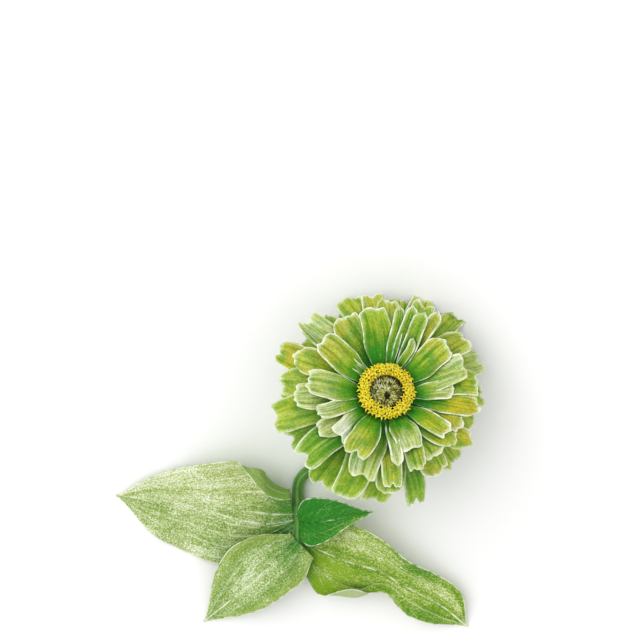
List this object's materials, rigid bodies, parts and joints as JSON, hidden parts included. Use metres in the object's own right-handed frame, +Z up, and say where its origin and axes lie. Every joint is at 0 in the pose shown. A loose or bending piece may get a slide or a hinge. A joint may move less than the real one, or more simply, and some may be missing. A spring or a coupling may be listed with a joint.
{
  "type": "cut zinnia flower",
  "caption": "Double zinnia bloom with layered green petals, a yellow floret ring and a dark disc, picked with its bent neck, cut stem and broad leaves, lying down.",
  "frame": {"origin": "centre of the whole flower's box, on the table it lies on", "axes": "+X to the right as the flower is seen from above with its stem's cut end towards the viewer, along its widest spread; +Y from the cut end towards the bloom; +Z up"},
  "size_m": [0.167, 0.1555, 0.0608],
  "materials": {
    "stem": "green ribbed stem with short hairs",
    "bract": "green bracts with a dark fringed rim",
    "petal": "soft satin petal, green with a pale rim and fine parallel veins",
    "disc_scale": "dark chaffy scales",
    "disc_floret": "bright yellow, satin",
    "leaf": "rough matt leaf, mottled green with pale veins",
    "young_leaf": "deep green, matt"
  },
  "bodies": {
    "root": {"stem": "stem", "involucre": "bract", "ray_petals": "petal", "disc_scales": "disc_scale", "disc_florets": "disc_floret", "leaf_left": "leaf", "leaf_right": "leaf", "leaf_front": "leaf", "leaf_upper": "young_leaf"}
  },
  "joints": []
}
